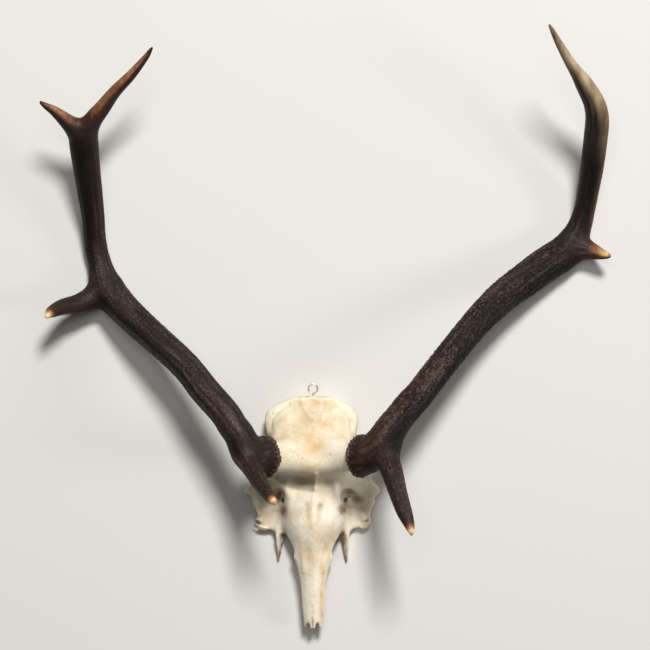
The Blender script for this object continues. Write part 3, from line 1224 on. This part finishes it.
LEFT = [Branch(LEFT_BEAM, BEAM_PEARLS, BEAM_GROOVES, CROWN_WEB, (0.0, 0.97, 0.25),
               (2.1, 0.9, 1.8, 60, 330), open_start=True, flush=LEFT_FLUSH, dusk=LEFT_DUSK,
               flank=((-0.75, -0.65, -0.05), 0.55)),
        Branch(LEFT_BROW, TINE_PEARLS, TINE_GROOVES, BROW_TIP),
        Branch(LEFT_TREZ, TREZ_PEARLS, SMOOTH_GROOVES, TREZ_TIP),
        Branch(LEFT_INNER, SMOOTH_PEARLS, SMOOTH_GROOVES, LONG_TINE, (-0.75, 0.45, 0.45)),
        Branch(LEFT_OUTER, SMOOTH_PEARLS, SMOOTH_GROOVES, SHORT_TINE, (0.45, 0.75, 0.4))]
RIGHT = [Branch(RIGHT_BEAM, BEAM_PEARLS, BEAM_GROOVES, PALE_TOP, (0.85, 0.3, 0.35),
                (1.3, 1.6, 3.4, 50, 370), open_start=True, flush=RIGHT_FLUSH, pale=True,
                dusk=RIGHT_DUSK, flank=((0.74, -0.66, 0.05), 0.72)),
         Branch(RIGHT_BROW, LONG_BROW_PEARLS, TINE_GROOVES, BROW_TIP),
         Branch(RIGHT_TREZ, SMOOTH_PEARLS, SPUR_GROOVES, SPUR, (0.2, 0.6, 0.7))]

left = antler("left", LEFT, seed=5, boldness=0.62)
right = antler("right", RIGHT, seed=105, boldness=1.35)
bone = skull()
eye = hanging_eye()

to_frame = Matrix.Translation(Vector(SHIFT) * MM)
ANTLER_LOOK, BONE_LOOK, WIRE_LOOK = antler_material(), bone_material(), wire_material()
for piece, look, slot_name, replaced in (
        (left, ANTLER_LOOK, "antler", [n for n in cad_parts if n.startswith("left_")]),
        (right, ANTLER_LOOK, "antler", [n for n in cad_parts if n.startswith("right_")]),
        (bone, BONE_LOOK, "bone", ["skull"]),
        (eye, WIRE_LOOK, "eye_wire", ["hanging_eye"])):
    piece.data.transform(to_frame)
    places, _ = read(piece)
    write(piece, np.clip(places, np.array(cad_box[0]) / MM, np.array(cad_box[1]) / MM))
    for polygon in piece.data.polygons:
        polygon.use_smooth = True
    piece.data.materials.clear()
    piece.data.materials.append(look)
    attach(piece, "root")
    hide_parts(*replaced)

# Floor, light and camera

FLOOR = 14.0
floor_mesh = bpy.data.meshes.new("floor")
floor_mesh.from_pydata([(-FLOOR, -FLOOR, 0), (FLOOR, -FLOOR, 0), (FLOOR, FLOOR, 0),
                        (-FLOOR, FLOOR, 0)], [], [(0, 1, 2, 3)])
floor = bpy.data.objects.new("floor", floor_mesh)
bpy.context.scene.collection.objects.link(floor)
floor_mat, _, floor_shader = nodes_of("pale_floor")
floor_shader.inputs["Base Color"].default_value = (0.62, 0.61, 0.59, 1)
floor_shader.inputs["Roughness"].default_value = 0.9
floor_mesh.materials.append(floor_mat)

LAMPS = [
    # azimuth round from +X, elevation, distance, size, power, colour
    ("key", 76, 59, 5.5, 1.15, 350, (1.0, 0.985, 0.955)),
    ("side", -6, 30, 4.5, 1.2, 42, (1.0, 0.95, 0.89)),
    ("front", 110, 80, 4.5, 1.6, 34, (1.0, 0.99, 0.97)),
]


def lamp(name, azimuth, elevation, distance, size, power, colour):
    """A round soft lamp that looks at the frame's middle."""
    a, e = math.radians(azimuth), math.radians(elevation)
    place = Vector((math.cos(e) * math.cos(a), math.cos(e) * math.sin(a), math.sin(e))) * distance
    data = bpy.data.lights.new(name, "AREA")
    data.shape = "DISK"
    data.size, data.energy, data.color = size, power, colour
    obj = bpy.data.objects.new(name, data)
    obj.location = place
    obj.rotation_euler = (-place).to_track_quat("-Z", "Y").to_euler()
    bpy.context.scene.collection.objects.link(obj)


for row in LAMPS:
    lamp(*row)
bpy.context.scene.view_settings.view_transform = "Standard"
world = bpy.data.worlds.new("studio")
world.use_nodes = True
world.node_tree.nodes["Background"].inputs["Color"].default_value = (0.96, 0.97, 1.0, 1)
world.node_tree.nodes["Background"].inputs["Strength"].default_value = 0.05
bpy.context.scene.world = world

VIEW_CENTRE = (16.0, 161.0)
CAMERA_HEIGHT = 3000.0
VIEW_WIDTH = 832.0
SENSOR = 36.0
camera_data = bpy.data.cameras.new("camera")
camera_data.sensor_width = SENSOR
camera_data.lens = SENSOR * CAMERA_HEIGHT / VIEW_WIDTH
camera = bpy.data.objects.new("camera", camera_data)
camera.location = ((VIEW_CENTRE[0] + SHIFT[0]) * MM, (VIEW_CENTRE[1] + SHIFT[1]) * MM,
                   CAMERA_HEIGHT * MM)
bpy.context.scene.collection.objects.link(camera)
bpy.context.scene.camera = camera
